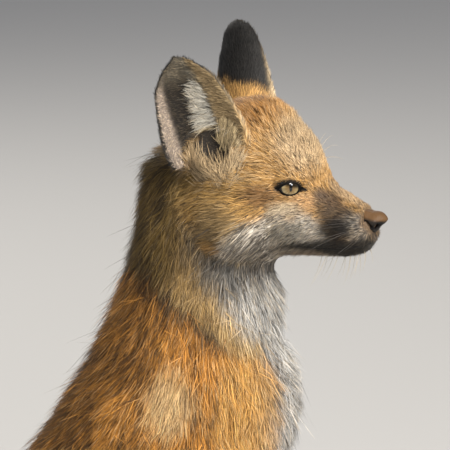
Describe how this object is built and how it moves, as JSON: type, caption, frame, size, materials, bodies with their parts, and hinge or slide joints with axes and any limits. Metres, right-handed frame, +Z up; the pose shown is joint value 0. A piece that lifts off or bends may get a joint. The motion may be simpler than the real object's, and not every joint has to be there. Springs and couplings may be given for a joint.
{
  "type": "young red fox model",
  "caption": "Still, life-size model of a young red fox, sitting upright with its head turned a little and its brush curled round one haunch.",
  "frame": {"origin": "on the floor, in the middle of the flat that the rump sits on", "axes": "+X the way the trunk faces, +Y the animal's left, +Z up"},
  "size_m": [0.3193, 0.2009, 0.4078],
  "materials": {
    "coat_red": "fur, golden orange with dark guard hairs",
    "coat_pale": "fur, whitish",
    "coat_dark": "short fur, blackish brown",
    "coat_tail": "long fur, reddish brown with dark tips",
    "nose_leather": "bare pebbled skin, slightly moist",
    "eye": "polished, amber with a dark pupil",
    "claw": "horn, dark brown"
  },
  "bodies": {
    "root": {"head": "coat_red", "lower_jaw": "coat_pale", "nose": "nose_leather", "eye_left": "eye", "ear_left": "coat_dark", "eye_right": "eye", "ear_right": "coat_dark", "trunk": "coat_red", "neck": "coat_pale", "foreleg_left": "coat_red", "forepaw_left": "coat_dark", "hindleg_left": "coat_red", "hindfoot_left": "coat_dark", "claw_fore_left_1": "claw", "claw_fore_left_2": "claw", "claw_fore_left_3": "claw", "claw_fore_left_4": "claw", "claw_hind_left_1": "claw", "claw_hind_left_2": "claw", "claw_hind_left_3": "claw", "claw_hind_left_4": "claw", "foreleg_right": "coat_red", "forepaw_right": "coat_dark", "hindleg_right": "coat_red", "hindfoot_right": "coat_dark", "claw_fore_right_1": "claw", "claw_fore_right_2": "claw", "claw_fore_right_3": "claw", "claw_fore_right_4": "claw", "claw_hind_right_1": "claw", "claw_hind_right_2": "claw", "claw_hind_right_3": "claw", "claw_hind_right_4": "claw", "tail_base": "coat_tail", "tail_middle": "coat_tail", "tail_tip": "coat_pale"}
  },
  "joints": []
}
